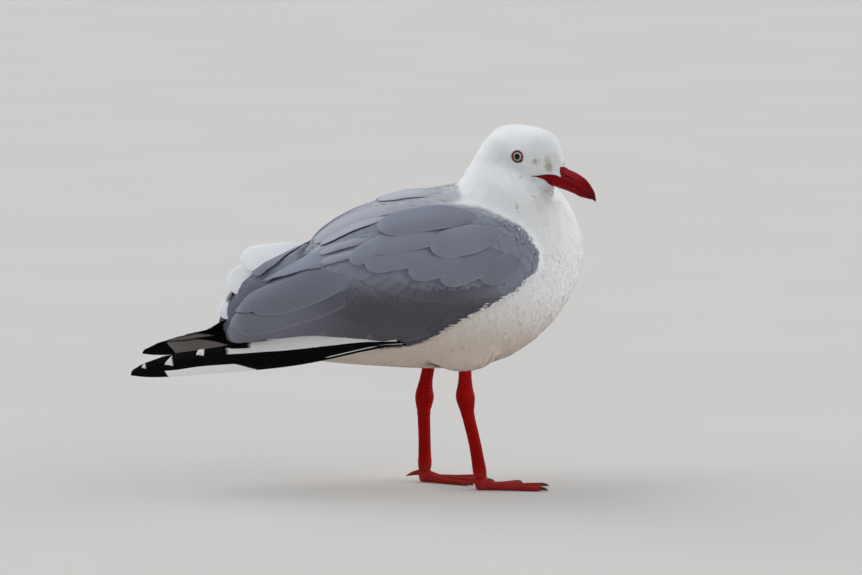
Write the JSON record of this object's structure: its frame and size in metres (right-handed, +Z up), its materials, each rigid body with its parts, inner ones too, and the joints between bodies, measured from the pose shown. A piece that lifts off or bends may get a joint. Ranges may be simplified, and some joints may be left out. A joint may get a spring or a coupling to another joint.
{
  "type": "silver gull",
  "caption": "Life-size standing silver gull with folded wings and its head turned to its right; white body, grey back, black and white wing tips, red bill and legs.",
  "frame": {"origin": "centre of the footprint box, at floor level under the feet", "axes": "+X the way the body faces, +Y the bird's left, +Z up"},
  "size_m": [0.2978, 0.1152, 0.2355],
  "materials": {
    "white_plumage": "soft matte feathers over flesh",
    "white_feathers": "soft matte feathers",
    "grey_feathers": "smooth matte feathers",
    "flight_feathers": "black feathers with white mirrors, slight sheen",
    "bill_horn": "satin horn",
    "leg_scales": "satin scaled skin",
    "eye_ring": "bare satin skin",
    "eye": "wet gloss"
  },
  "bodies": {
    "root": {"head": "white_plumage", "neck": "white_plumage", "trunk": "white_plumage", "rump": "white_feathers", "tail": "white_feathers", "mantle": "grey_feathers", "wing_right": "grey_feathers", "wing_left": "grey_feathers", "tertials_left": "grey_feathers", "primaries_right": "flight_feathers", "primaries_left": "flight_feathers", "bill_upper": "bill_horn", "bill_lower": "bill_horn", "eye_right": "eye", "eye_left": "eye", "eyelid_right": "eye_ring", "eyelid_left": "eye_ring", "tibia_right": "leg_scales", "tibia_left": "leg_scales", "tarsus_right": "leg_scales", "tarsus_left": "leg_scales", "foot_right": "leg_scales", "foot_left": "leg_scales"}
  },
  "joints": []
}
